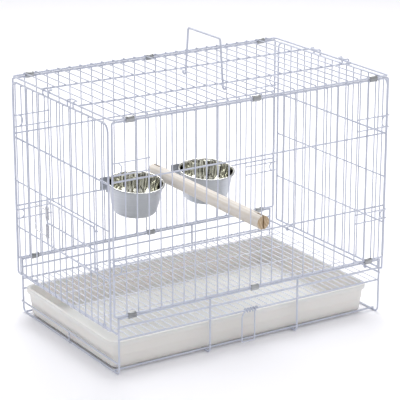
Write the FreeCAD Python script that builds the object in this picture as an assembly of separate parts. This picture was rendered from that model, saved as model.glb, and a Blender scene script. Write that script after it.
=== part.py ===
import FreeCAD, Part
import math
import os

# Folding wire travel cage for small birds, in millimetres, +Z up.
# X runs along the length, -Y is the front, and the origin is on the floor under the centre of the cage.
# The front, top and rear panels and the base form a four-bar box that leans to +Y as it folds.

# Overall size, measured to the centres of the frame wires
HALF_LENGTH = 254.0
HALF_WIDTH = 158.75
PIVOT_LOW = 96.0
PIVOT_HIGH = 399.5
PIVOT_OFFSET = 3.7
TOP_LEVEL = PIVOT_HIGH + PIVOT_OFFSET
BASE_RAIL_LEVEL = PIVOT_LOW - PIVOT_OFFSET

# Wire gauges (radii) and how far two welded wires sink into each other
FRAME = 1.6
CROSS = 1.3
BAR = 1.05
WELD = 0.1
RUN_GAP = 0.35
LAYER = FRAME + BAR - WELD
CROSS_LAYER = CROSS + BAR - WELD

# Bar spacing
SIDE_BAYS = 25
SIDE_PITCH = 2 * HALF_LENGTH / SIDE_BAYS
END_BAYS = 16
END_PITCH = 2 * HALF_WIDTH / END_BAYS

# Front and rear panels
SIDE_CORNER = 3.0
SIDE_CROSS_LEVELS = (186.0, 308.5)
CATCH_BAYS = 3
CATCH_END = HALF_LENGTH + FRAME - 0.2
LOOP_SPANS = ((165.0, 180.0), (320.0, 339.0))
LOOP_X = HALF_LENGTH - 4.0
LOOP_WIRE = 1.0

# Top panel
TOP_CORNER = 6.0
TOP_ROD_Y = HALF_WIDTH - 5 * END_PITCH
HINGE_BAYS = (1, 12, 23)
CLIP_LENGTH = 14.0
CLIP_WALL = 1.0

# Carrying handle, standing between two of the top's cross wires
HANDLE_X = 6.5
HANDLE_WIRE = 1.7
HANDLE_CURL = 4.2
HANDLE_FOOT_Y = TOP_ROD_Y - HANDLE_CURL
HANDLE_GRIP_Y = 47.0
HANDLE_TOP = 471.5
HANDLE_CURL_LEVEL = 397.0
HANDLE_BEND = 4.0

# Base frame
POST_X = 247.0
POST_SIDE_X = (-POST_X, -83.0, 83.0, POST_X)
FOOT_BEND = 8.0
FLOOR_WIRE_LEVEL = FRAME
FRONT_RAIL_LEVELS = (BASE_RAIL_LEVEL, 78.5)
REAR_RAIL_LEVELS = (BASE_RAIL_LEVEL, 78.5, 40.5)
RAIL = 1.5
SUPPORT_LEVEL = 58.0
BOTTOM_RAILS_Y = (-146.0, 146.0)
END_RAIL_LEVEL = 69.0
END_RAIL_X = POST_X + FRAME + RAIL - WELD
GUARD_LEVEL = 20.0
GUARD_STRUT_Y = -4.0

# Floor grille, lying on the two support rails
GRILLE_WIRE = 0.9
GRILLE_PITCH = 12.7
GRILLE_WIRES = 39
GRILLE_RODS_Y = (-120.0, -60.0, 0.0, 60.0, 120.0)
GRILLE_LEVEL = SUPPORT_LEVEL + RAIL + GRILLE_WIRE
GRILLE_SHORT_X = (-26.0, 12.0)
GRILLE_SHORT_Y = -152.0

# Slide-out tray
TRAY_LEFT = -252.0
TRAY_RIGHT = 236.0
TRAY_HALF_WIDTH = 149.0
TRAY_FLOOR = 3.6
TRAY_RIM = 49.5
TRAY_WALL = 1.8
TRAY_LIP = 8.0
TRAY_LIP_SHEET = 1.3
TRAY_CORNER = 18.0
TRAY_SECTIONS = ((0.0, 7.5), (20.0, 6.0), (21.5, 5.0), (TRAY_RIM - TRAY_WALL - TRAY_FLOOR, 3.4))

# End panels, hung outside the box on the base's end rails
END_FRAME_X = HALF_LENGTH + 2 * FRAME + RUN_GAP
END_BAR_X = END_FRAME_X + LAYER
END_HALF_WIDTH = 153.0
END_LOW = 73.0
END_HIGH = 396.5
END_CORNER_TOP = 12.0
END_CROSS_LEVELS = (305.0, 232.0, 154.0)
END_CROSS_GAUGES = (1.5, 1.2, 1.2)
END_CURL_Y = (-119.0, 107.0)
END_CURL_WIRE = 1.2
HOOK_Y = HALF_WIDTH - 6 * END_PITCH
HOOK_HALF = 9.0
HOOK_WIRE = 1.25
HOOK_BEND = 3.0
HOOK_LEVEL = TOP_LEVEL + FRAME + HOOK_WIRE + 1.2
HOOK_REACH = 249.5

# Door in the left end panel, between two of its bars and its two lower cross wires
DOOR_FIRST_BAR = 2
DOOR_LAST_BAR = 10
OPENING_HIGH = END_CROSS_LEVELS[1]
OPENING_LOW = END_CROSS_LEVELS[2]
OPENING_EDGE = 1.6
DOOR_LOW = OPENING_LOW + 3.0
DOOR_HIGH = OPENING_HIGH - 3.0
DOOR_WIRE = 1.4
DOOR_CORNER = 4.0
DOOR_HINGE_Y = -HALF_WIDTH + DOOR_FIRST_BAR * END_PITCH
DOOR_FRONT = DOOR_HINGE_Y + 2.85
DOOR_REAR = -HALF_WIDTH + DOOR_LAST_BAR * END_PITCH - 4.0
DOOR_MID = (DOOR_LOW + DOOR_HIGH) / 2
DOOR_CURL_LEVELS = (DOOR_LOW + 6.0, DOOR_HIGH - 6.0)
DOOR_CURL_WIRE = 0.75

# Spring latch wound on the door's rear wire
LATCH_WIRE = 0.7
LATCH_COILS = ((167.0, 191.0), (197.0, 220.0))
LATCH_LOOP_LEVELS = (172.0, 215.0)
LATCH_LOOP_Y = 72.0
LATCH_LOOP_WIRE = 1.0

# Swing clip on the front of the base
CLIP_LEGS_X = (-25.0, -1.0)
CLIP_LOW = 7.0
CLIP_WIRE = 1.1
CLIP_COIL_X = (-20.0, 6.0)

# Perch
PERCH_RADIUS = 11.5
PERCH_LEVEL = 201.5
PERCH_BAR = 13
PERCH_X = -HALF_LENGTH + PERCH_BAR * SIDE_PITCH
PERCH_OVERHANG = 5.5
PERCH_CHAMFER = 1.0
KERF_WIDTH = 3.2
KERF_DEPTH = 12.0

# Cups and their hanging brackets
CUP_X = (-61.0, 77.5)
CUP_Y = 103.0
CUP_FLOOR_LEVEL = 162.0
CUP_HEIGHT = 51.0
CUP_RADIUS = 45.4
CUP_FOOT_RADIUS = 38.0
CUP_BEND = 9.0
CUP_SHEET = 0.9
CUP_BEAD = 1.9
CUP_TILT = 7.0
PLATE_HALF = 40.0
PLATE_SHEET = 1.2
PLATE_TOP = 209.0
TONGUE_WIDTH = 9.0
TONGUE_DROP = 8.0
LUG_HALF = 8.0


def vec(x, y, z):
    return FreeCAD.Vector(x, y, z)


def rod(start, end, radius):
    """A straight round wire between two points."""
    along = end.sub(start)
    return Part.makeCylinder(radius, along.Length, start, along)


def box(low, high):
    """A box between two opposite corners."""
    size = high.sub(low)
    return Part.makeBox(size.x, size.y, size.z, low)


def weld(shapes):
    """One solid from wires that touch."""
    return shapes[0].multiFuse(shapes[1:]).removeSplitter()


def bend_edges(before, corner, after, radius):
    """The arc that rounds a corner, with its two tangent points."""
    back = before.sub(corner).normalize()
    ahead = after.sub(corner).normalize()
    half_angle = back.getAngle(ahead) / 2
    reach = radius / math.tan(half_angle)
    bisector = back.add(ahead).normalize()
    centre = corner.add(bisector.multiply(radius / math.sin(half_angle)))
    enter = corner.add(back.multiply(reach))
    leave = corner.add(ahead.multiply(reach))
    middle = centre.add(corner.sub(centre).normalize().multiply(radius))
    return Part.Arc(enter, middle, leave).toShape(), enter, leave


def bent_wire(points, radius, bend):
    """A round wire along straight runs, with each corner bent to one radius."""
    edges = []
    position = points[0]
    for before, corner, after in zip(points, points[1:], points[2:]):
        arc, enter, leave = bend_edges(before, corner, after, bend)
        edges.append(Part.LineSegment(position, enter).toShape())
        edges.append(arc)
        position = leave
    edges.append(Part.LineSegment(position, points[-1]).toShape())
    return sweep(edges, points[0], points[1].sub(points[0]), radius)


def sweep(edges, start, direction, radius):
    """A round wire along joined edges."""
    path = Part.Wire(edges)
    section = Part.Wire(Part.makeCircle(radius, start, direction))
    return path.makePipeShell([section], True, False)


def frame_loop(corners, radius, bend):
    """A closed wire frame, from two half loops that meet on two of its sides."""
    first, second, third, fourth = corners
    low_mid = first.add(second).multiply(0.5)
    high_mid = third.add(fourth).multiply(0.5)
    one = bent_wire([low_mid, second, third, high_mid], radius, bend)
    other = bent_wire([high_mid, fourth, first, low_mid], radius, bend)
    return [one, other]


def arc_wire(start, middle, end, direction, radius):
    """A round wire along one arc."""
    return sweep([Part.Arc(start, middle, end).toShape()], start, direction, radius)


def wrap_clip(x, y, fixed_level, turning_level, fixed_radius):
    """A sheet clip that grips one long wire and lets the wire beside it turn."""
    turning_radius = FRAME + RUN_GAP
    outer = turning_radius + CLIP_WALL
    start = x - CLIP_LENGTH / 2
    along = vec(1, 0, 0)
    low, high = sorted((fixed_level, turning_level))
    body = weld([
        Part.makeCylinder(outer, CLIP_LENGTH, vec(start, y, low), along),
        Part.makeCylinder(outer, CLIP_LENGTH, vec(start, y, high), along),
        box(vec(start, y - outer, low), vec(start + CLIP_LENGTH, y + outer, high)),
    ])
    body = body.cut(Part.makeCylinder(turning_radius, CLIP_LENGTH, vec(start, y, turning_level), along))
    body = body.cut(Part.makeCylinder(fixed_radius, CLIP_LENGTH, vec(start, y, fixed_level), along))
    slot = box(vec(start, y - 1.0, low), vec(start + CLIP_LENGTH, y + 1.0, high))
    return body.cut(slot)


def clip_row(fixed_level, turning_level, fixed_radius):
    """Six clips, three along the front edge and three along the rear edge."""
    clips = []
    for y in (-HALF_WIDTH, HALF_WIDTH):
        for bay in HINGE_BAYS:
            x = -HALF_LENGTH + (bay + 0.5) * SIDE_PITCH
            clips.append(wrap_clip(x, y, fixed_level, turning_level, fixed_radius))
    return Part.makeCompound(clips)


def side_frame(y):
    """The edge wire of the front or rear panel."""
    corners = [
        vec(-HALF_LENGTH, y, PIVOT_LOW),
        vec(HALF_LENGTH, y, PIVOT_LOW),
        vec(HALF_LENGTH, y, PIVOT_HIGH),
        vec(-HALF_LENGTH, y, PIVOT_HIGH),
    ]
    return weld(frame_loop(corners, FRAME, SIDE_CORNER))


def side_grid(y):
    """The upright bars of the front or rear panel, and its two long cross wires."""
    bar_y = y - LAYER
    wires = []
    for bay in range(1, SIDE_BAYS):
        x = -HALF_LENGTH + bay * SIDE_PITCH
        wires.append(rod(vec(x, bar_y, PIVOT_LOW), vec(x, bar_y, PIVOT_HIGH), BAR))
    cross_y = bar_y + CROSS_LAYER
    reach = HALF_LENGTH - FRAME + WELD
    for level in SIDE_CROSS_LEVELS:
        wires.append(rod(vec(-reach, cross_y, level), vec(reach, cross_y, level), CROSS))
    return weld(wires)


def corner_catches(y):
    """Short wires and half-round loops at both ends of a panel, which stiffen its corners."""
    bar_y = y - LAYER
    wire_y = bar_y - 2 * BAR + WELD
    inner = HALF_LENGTH - CATCH_BAYS * SIDE_PITCH - BAR
    catches = []
    for side in (-1, 1):
        for low, high in LOOP_SPANS:
            mid = (low + high) / 2
            radius = (high - low) / 2
            loop = arc_wire(
                vec(side * LOOP_X, wire_y, low),
                vec(side * (LOOP_X - radius), wire_y, mid),
                vec(side * LOOP_X, wire_y, high),
                vec(-side, 0, 0),
                LOOP_WIRE,
            )
            wires = [loop]
            for level in (low, high):
                start = vec(side * inner, wire_y, level)
                wires.append(rod(start, vec(side * CATCH_END, wire_y, level), BAR))
            catches.append(weld(wires))
    return Part.makeCompound(catches)


def top_frame():
    """The edge wire of the top panel."""
    corners = [
        vec(-HALF_LENGTH, -HALF_WIDTH, TOP_LEVEL),
        vec(HALF_LENGTH, -HALF_WIDTH, TOP_LEVEL),
        vec(HALF_LENGTH, HALF_WIDTH, TOP_LEVEL),
        vec(-HALF_LENGTH, HALF_WIDTH, TOP_LEVEL),
    ]
    return weld(frame_loop(corners, FRAME, TOP_CORNER))


def top_grid():
    """The top panel's cross wires, and the two long rods under them."""
    wires = []
    bar_level = TOP_LEVEL + LAYER
    for bay in range(1, SIDE_BAYS):
        x = -HALF_LENGTH + bay * SIDE_PITCH
        wires.append(rod(vec(x, -HALF_WIDTH, bar_level), vec(x, HALF_WIDTH, bar_level), BAR))
    rod_level = bar_level - RAIL - BAR + WELD
    reach = HALF_LENGTH - FRAME + WELD
    for y in (-TOP_ROD_Y, TOP_ROD_Y):
        wires.append(rod(vec(-reach, y, rod_level), vec(reach, y, rod_level), RAIL))
    return weld(wires)


def carrying_handle():
    """A wire handle whose feet hang in open curls just under the two long rods of the top."""
    grip = bent_wire(
        [
            vec(HANDLE_X, -HANDLE_FOOT_Y, HANDLE_CURL_LEVEL),
            vec(HANDLE_X, -HANDLE_GRIP_Y, HANDLE_TOP),
            vec(HANDLE_X, HANDLE_GRIP_Y, HANDLE_TOP),
            vec(HANDLE_X, HANDLE_FOOT_Y, HANDLE_CURL_LEVEL),
        ],
        HANDLE_WIRE,
        HANDLE_BEND,
    )
    parts = [grip]
    for side in (-1, 1):
        foot = side * HANDLE_FOOT_Y
        parts.append(arc_wire(
            vec(HANDLE_X, foot, HANDLE_CURL_LEVEL),
            vec(HANDLE_X, foot + side * HANDLE_CURL, HANDLE_CURL_LEVEL - HANDLE_CURL),
            vec(HANDLE_X, foot + side * 2 * HANDLE_CURL, HANDLE_CURL_LEVEL),
            vec(0, 0, -1),
            HANDLE_WIRE,
        ))
        parts.append(Part.makeSphere(HANDLE_WIRE, vec(HANDLE_X, foot, HANDLE_CURL_LEVEL)))
    return weld(parts)


def base_side(side, levels):
    """Four posts with rounded feet and the long rails of the base's front (-1) or rear (+1)."""
    y = side * HALF_WIDTH
    wires = []
    for x in POST_SIDE_X:
        wires.append(bent_wire(
            [
                vec(x, y, BASE_RAIL_LEVEL),
                vec(x, y, FLOOR_WIRE_LEVEL),
                vec(x, side * (HALF_WIDTH - FOOT_BEND - 2), FLOOR_WIRE_LEVEL),
            ],
            FRAME,
            FOOT_BEND,
        ))
    for level in levels + (SUPPORT_LEVEL,):
        wires.append(rod(vec(-POST_X - FRAME, y, level), vec(POST_X + FRAME, y, level), RAIL))
    return weld(wires)


def base_floor():
    """Four wires across the floor that carry the tray, and the long rails on them that guide it."""
    wires = []
    reach = HALF_WIDTH - FOOT_BEND - 2
    for x in POST_SIDE_X:
        wires.append(rod(vec(x, -reach, FLOOR_WIRE_LEVEL), vec(x, reach, FLOOR_WIRE_LEVEL), FRAME))
    level = FLOOR_WIRE_LEVEL + FRAME + RAIL - WELD
    for y in BOTTOM_RAILS_Y:
        wires.append(rod(vec(-POST_X - FRAME, y, level), vec(POST_X + FRAME, y, level), RAIL))
    return weld(wires)


def end_rail(side):
    """The rail across one end of the base, on which the end panel turns."""
    x = side * END_RAIL_X
    return rod(vec(x, -HALF_WIDTH, END_RAIL_LEVEL), vec(x, HALF_WIDTH, END_RAIL_LEVEL), RAIL)


def tray_stop():
    """The low guard rail at the left end of the base, with its short strut."""
    x = -END_RAIL_X
    rail = rod(vec(x, -HALF_WIDTH, GUARD_LEVEL), vec(x, HALF_WIDTH, GUARD_LEVEL), RAIL)
    strut_x = -POST_X - FRAME - BAR + WELD
    strut = rod(vec(strut_x, GUARD_STRUT_Y, 1.0), vec(strut_x, GUARD_STRUT_Y, GUARD_LEVEL), BAR)
    return weld([rail, strut])


def floor_grille():
    """Close cross wires that lie on the support rails, short of the front rail at the swing clip."""
    wires = []
    first = -GRILLE_PITCH * (GRILLE_WIRES - 1) / 2
    clip_left, clip_right = GRILLE_SHORT_X
    for index in range(GRILLE_WIRES):
        x = first + index * GRILLE_PITCH
        front = GRILLE_SHORT_Y if clip_left < x < clip_right else -HALF_WIDTH
        wires.append(rod(vec(x, front, GRILLE_LEVEL), vec(x, HALF_WIDTH, GRILLE_LEVEL), GRILLE_WIRE))
    level = GRILLE_LEVEL - 2 * GRILLE_WIRE + WELD
    for y in GRILLE_RODS_Y:
        wires.append(rod(vec(first - 3, y, level), vec(-first + 3, y, level), GRILLE_WIRE))
    return weld(wires)


def rounded_rectangle(inset, level, corner):
    """A closed outline of the tray at one height, set in from the rim."""
    left = TRAY_LEFT + inset
    right = TRAY_RIGHT - inset
    half = TRAY_HALF_WIDTH - inset
    diagonal = corner * (1 - math.sqrt(0.5))
    edges = []
    corners = ((right, half, 1, 1), (left, half, -1, 1), (left, -half, -1, -1), (right, -half, 1, -1))
    for x, y, sx, sy in corners:
        along_x = vec(x - sx * corner, y, level)
        along_y = vec(x, y - sy * corner, level)
        middle = vec(x - sx * diagonal, y - sy * diagonal, level)
        ends = (along_y, along_x) if sx * sy > 0 else (along_x, along_y)
        if edges:
            edges.append(Part.LineSegment(edges[-1].Vertexes[-1].Point, ends[0]).toShape())
        edges.append(Part.Arc(ends[0], middle, ends[1]).toShape())
    edges.append(Part.LineSegment(edges[-1].Vertexes[-1].Point, edges[0].Vertexes[0].Point).toShape())
    return Part.Wire(edges)


def tray_prism(inset, low, high, corner):
    """A straight block with the tray's outline."""
    outline = Part.Face(rounded_rectangle(inset, low, corner))
    return outline.extrude(vec(0, 0, high - low))


def slide_tray():
    """A moulded tray with tapered, stepped sides and a turned-down rim."""
    outer = []
    inner = []
    for rise, inset in TRAY_SECTIONS:
        corner = TRAY_CORNER - inset / 2
        outer.append(rounded_rectangle(inset, TRAY_FLOOR + rise, corner))
        lift = TRAY_WALL if rise == 0 else 0
        inner.append(rounded_rectangle(inset + TRAY_WALL, TRAY_FLOOR + rise + lift, corner - TRAY_WALL))
    body = Part.makeLoft(outer, True, True)
    hollow = Part.makeLoft(inner, True, True)
    top_inset = TRAY_SECTIONS[-1][1] + TRAY_WALL
    body = body.cut(hollow)
    flange = tray_prism(0, TRAY_RIM - TRAY_WALL, TRAY_RIM, TRAY_CORNER)
    flange = flange.cut(tray_prism(top_inset, TRAY_RIM - TRAY_WALL, TRAY_RIM, TRAY_CORNER - 4))
    lip = tray_prism(0, TRAY_RIM - TRAY_LIP, TRAY_RIM, TRAY_CORNER)
    lip_corner = TRAY_CORNER - TRAY_LIP_SHEET
    lip = lip.cut(tray_prism(TRAY_LIP_SHEET, TRAY_RIM - TRAY_LIP, TRAY_RIM, lip_corner))
    return weld([body, flange, lip])


def end_frame(side):
    """The edge wire of an end panel, with rounder corners at the top."""
    x = side * END_FRAME_X
    mid = (END_LOW + END_HIGH) / 2
    upper = bent_wire(
        [
            vec(x, -END_HALF_WIDTH, mid),
            vec(x, -END_HALF_WIDTH, END_HIGH),
            vec(x, END_HALF_WIDTH, END_HIGH),
            vec(x, END_HALF_WIDTH, mid),
        ],
        FRAME,
        END_CORNER_TOP,
    )
    lower = bent_wire(
        [
            vec(x, END_HALF_WIDTH, mid),
            vec(x, END_HALF_WIDTH, END_LOW),
            vec(x, -END_HALF_WIDTH, END_LOW),
            vec(x, -END_HALF_WIDTH, mid),
        ],
        FRAME,
        SIDE_CORNER,
    )
    return [upper, lower]


def end_bar_y(index):
    return -HALF_WIDTH + index * END_PITCH


def end_grid(side, has_door):
    """The upright bars and cross wires of an end panel, with the bars left out where the door is."""
    bar_x = side * END_BAR_X
    wires = []
    for index in range(1, END_BAYS):
        spans = ((END_LOW, END_HIGH),)
        if has_door and DOOR_FIRST_BAR < index < DOOR_LAST_BAR:
            spans = ((END_LOW, OPENING_LOW), (OPENING_HIGH, END_HIGH))
        y = end_bar_y(index)
        for low, high in spans:
            wires.append(rod(vec(bar_x, y, low), vec(bar_x, y, high), BAR))
    reach = END_HALF_WIDTH - FRAME + WELD
    for level, gauge in zip(END_CROSS_LEVELS, END_CROSS_GAUGES):
        x = side * (END_BAR_X - gauge - BAR + WELD)
        wires.append(rod(vec(x, -reach, level), vec(x, reach, level), gauge))
    return wires


def end_panel(side, has_door=False):
    """One end panel, welded up whole."""
    return weld(end_frame(side) + end_grid(side, has_door))


def around_opening(whole):
    """The left end panel, divided into the four parts around its door opening."""
    near = -END_FRAME_X - 20
    far = -END_BAR_X + 20
    edge = END_HALF_WIDTH + 20
    top = OPENING_HIGH - OPENING_EDGE
    sill = OPENING_LOW + OPENING_EDGE
    front_y = DOOR_HINGE_Y + OPENING_EDGE
    rear_y = end_bar_y(DOOR_LAST_BAR) - OPENING_EDGE
    cells = {
        "left_end_upper": (vec(near, -edge, top), vec(far, edge, END_HIGH + 20)),
        "left_end_lower": (vec(near, -edge, 0), vec(far, edge, sill)),
        "left_end_front_strip": (vec(near, -edge, sill), vec(far, front_y, top)),
        "left_end_rear_strip": (vec(near, rear_y, sill), vec(far, edge, top)),
    }
    return {name: whole.common(box(low, high)) for name, (low, high) in cells.items()}


def top_hook(side, y):
    """A wire loop that rises from an end panel and lies over the top panel's end wire."""
    x = side * END_FRAME_X
    inner_x = side * HOOK_REACH
    foot = END_HIGH + FRAME - WELD
    return bent_wire(
        [
            vec(x, y - HOOK_HALF, foot),
            vec(x, y - HOOK_HALF, HOOK_LEVEL),
            vec(inner_x, y - HOOK_HALF, HOOK_LEVEL),
            vec(inner_x, y + HOOK_HALF, HOOK_LEVEL),
            vec(x, y + HOOK_HALF, HOOK_LEVEL),
            vec(x, y + HOOK_HALF, foot),
        ],
        HOOK_WIRE,
        HOOK_BEND,
    )


def rail_curl(side, y):
    """A wire that leaves an end panel's lower edge and curls round the base's end rail."""
    ring = RAIL + RUN_GAP + END_CURL_WIRE
    centre_x = side * END_RAIL_X
    start = vec(side * (END_FRAME_X - 0.5), y, END_RAIL_LEVEL + ring)
    top = vec(centre_x, y, END_RAIL_LEVEL + ring)
    inner = vec(centre_x - side * ring, y, END_RAIL_LEVEL)
    turn = math.radians(225)
    tip = vec(centre_x - side * ring * math.sin(turn), y, END_RAIL_LEVEL + ring * math.cos(turn))
    edges = [Part.LineSegment(start, top).toShape(), Part.Arc(top, inner, tip).toShape()]
    return sweep(edges, start, vec(-side, 0, 0), END_CURL_WIRE)


def end_hooks(side, panel):
    """An end panel's two top hooks and two bottom curls, cut to sit on its wires."""
    wires = [top_hook(side, y) for y in (-HOOK_Y, HOOK_Y)]
    wires += [rail_curl(side, y) for y in END_CURL_Y]
    return Part.makeCompound([wire.cut(panel) for wire in wires])


def left_door():
    """A wire door with two curls that turn on a bar of the end panel."""
    bar_x = -END_BAR_X
    layer_x = bar_x - DOOR_WIRE - BAR + WELD
    cross_x = bar_x - CROSS_LAYER
    corners = [
        vec(layer_x, DOOR_FRONT, DOOR_LOW),
        vec(layer_x, DOOR_REAR, DOOR_LOW),
        vec(layer_x, DOOR_REAR, DOOR_HIGH),
        vec(layer_x, DOOR_FRONT, DOOR_HIGH),
    ]
    wires = frame_loop(corners, DOOR_WIRE, DOOR_CORNER)
    for index in range(DOOR_FIRST_BAR + 1, DOOR_LAST_BAR):
        y = end_bar_y(index)
        wires.append(rod(vec(bar_x, y, DOOR_LOW), vec(bar_x, y, DOOR_HIGH), BAR))
    wires.append(rod(vec(cross_x, DOOR_FRONT, DOOR_MID), vec(cross_x, DOOR_REAR, DOOR_MID), CROSS))
    ring = BAR + RUN_GAP + DOOR_CURL_WIRE
    for level in DOOR_CURL_LEVELS:
        wires.append(Part.makeTorus(ring, DOOR_CURL_WIRE, vec(bar_x, DOOR_HINGE_Y, level), vec(0, 0, 1)))
    return weld(wires)


def door_latch():
    """Two spring coils on the door's rear wire, joined by a finger loop."""
    x = -END_BAR_X - DOOR_WIRE - BAR + WELD
    inner = DOOR_WIRE + RUN_GAP
    outer = inner + 2 * LATCH_WIRE
    parts = []
    for low, high in LATCH_COILS:
        sleeve = rod(vec(x, DOOR_REAR, low), vec(x, DOOR_REAR, high), outer)
        parts.append(sleeve.cut(rod(vec(x, DOOR_REAR, low), vec(x, DOOR_REAR, high), inner)))
    loop_x = x - inner - LATCH_WIRE
    low, high = LATCH_LOOP_LEVELS
    parts.append(bent_wire(
        [
            vec(loop_x, DOOR_REAR, low),
            vec(loop_x, LATCH_LOOP_Y, low),
            vec(loop_x, LATCH_LOOP_Y, high),
            vec(loop_x, DOOR_REAR, high),
        ],
        LATCH_LOOP_WIRE,
        5.0,
    ))
    return weld(parts)


def swing_clip():
    """A wire clip that hangs on the front support rail."""
    inner = RAIL + RUN_GAP
    outer = inner + 2 * CLIP_WIRE
    start, end = CLIP_COIL_X
    y = -HALF_WIDTH
    sleeve = rod(vec(start, y, SUPPORT_LEVEL), vec(end, y, SUPPORT_LEVEL), outer)
    sleeve = sleeve.cut(rod(vec(start, y, SUPPORT_LEVEL), vec(end, y, SUPPORT_LEVEL), inner))
    leg_y = y - inner - CLIP_WIRE
    left, right = CLIP_LEGS_X
    legs = bent_wire(
        [
            vec(start + 2, leg_y, SUPPORT_LEVEL),
            vec(left, leg_y, SUPPORT_LEVEL - 8),
            vec(left, leg_y, CLIP_LOW),
            vec(right, leg_y, CLIP_LOW),
            vec(right, leg_y, SUPPORT_LEVEL),
        ],
        CLIP_WIRE,
        2.5,
    )
    return weld([sleeve, legs])


def wood_perch():
    """A round perch with a kerf in each end that straddles an upright bar."""
    front = -HALF_WIDTH - LAYER
    rear = HALF_WIDTH - LAYER
    start = front - PERCH_OVERHANG
    end = -start
    dowel = Part.makeCylinder(PERCH_RADIUS, end - start, vec(PERCH_X, start, PERCH_LEVEL), vec(0, 1, 0))
    rims = [edge for edge in dowel.Edges if edge.Curve.TypeId == "Part::GeomCircle"]
    dowel = dowel.makeChamfer(PERCH_CHAMFER, rims)
    reach = PERCH_RADIUS + 1
    half = KERF_WIDTH / 2
    spans = ((start - 1, front + KERF_DEPTH), (rear - KERF_DEPTH, end + 1))
    for low, high in spans:
        kerf_low = vec(PERCH_X - half, low, PERCH_LEVEL - reach)
        kerf_high = vec(PERCH_X + half, high, PERCH_LEVEL + reach)
        dowel = dowel.cut(box(kerf_low, kerf_high))
    return dowel


def cup_profile(radius_foot, radius_top, floor, bend):
    """One side of the cup's wall in section, from the axis out and up to the brim."""
    wall = vec(radius_top, 0, CUP_HEIGHT).sub(vec(radius_foot, 0, floor))
    corner = vec(radius_foot, 0, floor)
    arc, enter, leave = bend_edges(vec(0, 0, floor), corner, corner.add(wall), bend)
    return [
        Part.LineSegment(vec(0, 0, floor), enter).toShape(),
        arc,
        Part.LineSegment(leave, vec(radius_top, 0, CUP_HEIGHT)).toShape(),
    ]


def placed_cup(shape, x):
    """A cup shape moved to its place, tipped a little towards the front."""
    shape.translate(vec(x, CUP_Y, CUP_FLOOR_LEVEL))
    shape.rotate(vec(x, CUP_Y + CUP_RADIUS, CUP_FLOOR_LEVEL + CUP_HEIGHT), vec(1, 0, 0), CUP_TILT)
    return shape


def cup_blank():
    """The cup's outer form, without its hollow."""
    edges = cup_profile(CUP_FOOT_RADIUS, CUP_RADIUS, 0.0, CUP_BEND)
    edges.append(Part.LineSegment(vec(CUP_RADIUS, 0, CUP_HEIGHT), vec(0, 0, CUP_HEIGHT)).toShape())
    edges.append(Part.LineSegment(vec(0, 0, CUP_HEIGHT), vec(0, 0, 0)).toShape())
    return Part.Face(Part.Wire(edges)).revolve(vec(0, 0, 0), vec(0, 0, 1), 360)


def food_cup(x):
    """A deep-drawn cup with a rolled rim."""
    foot = CUP_FOOT_RADIUS - CUP_SHEET
    brim = CUP_RADIUS - CUP_SHEET
    edges = cup_profile(foot, brim, CUP_SHEET, CUP_BEND - CUP_SHEET)
    edges.append(Part.LineSegment(vec(brim, 0, CUP_HEIGHT), vec(0, 0, CUP_HEIGHT)).toShape())
    edges.append(Part.LineSegment(vec(0, 0, CUP_HEIGHT), vec(0, 0, CUP_SHEET)).toShape())
    hollow = Part.Face(Part.Wire(edges)).revolve(vec(0, 0, 0), vec(0, 0, 1), 360)
    bead = Part.makeTorus(CUP_RADIUS + CUP_BEAD - CUP_SHEET, CUP_BEAD, vec(0, 0, CUP_HEIGHT - 0.3))
    return placed_cup(cup_blank().cut(hollow).fuse(bead), x)


def cup_bracket(x):
    """A hanging plate with two tongues over the rear cross wire and a lug to the cup."""
    bar_face = HALF_WIDTH - LAYER - BAR
    plate_rear = bar_face - RUN_GAP
    plate_front = plate_rear - PLATE_SHEET
    cross_top = SIDE_CROSS_LEVELS[0] + CROSS
    shelf = cross_top + RUN_GAP
    tip_front = HALF_WIDTH - LAYER + CROSS_LAYER + CROSS + RUN_GAP
    tip_rear = tip_front + PLATE_SHEET
    parts = [box(vec(x - PLATE_HALF, plate_front, shelf), vec(x + PLATE_HALF, plate_rear, PLATE_TOP))]
    for offset in (-SIDE_PITCH, SIDE_PITCH):
        bay = math.floor((x + offset + HALF_LENGTH) / SIDE_PITCH)
        centre = -HALF_LENGTH + (bay + 0.5) * SIDE_PITCH
        low_x = centre - TONGUE_WIDTH / 2
        high_x = centre + TONGUE_WIDTH / 2
        parts.append(box(vec(low_x, plate_front, shelf), vec(high_x, tip_rear, shelf + PLATE_SHEET)))
        tip_low = vec(low_x, tip_front, cross_top - TONGUE_DROP)
        parts.append(box(tip_low, vec(high_x, tip_rear, shelf + PLATE_SHEET)))
    lug = box(vec(x - LUG_HALF, CUP_Y + 30, shelf + 2), vec(x + LUG_HALF, plate_front, shelf + 13))
    lug = lug.cut(placed_cup(cup_blank(), x))
    parts.append(lug)
    return weld(parts)


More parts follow.
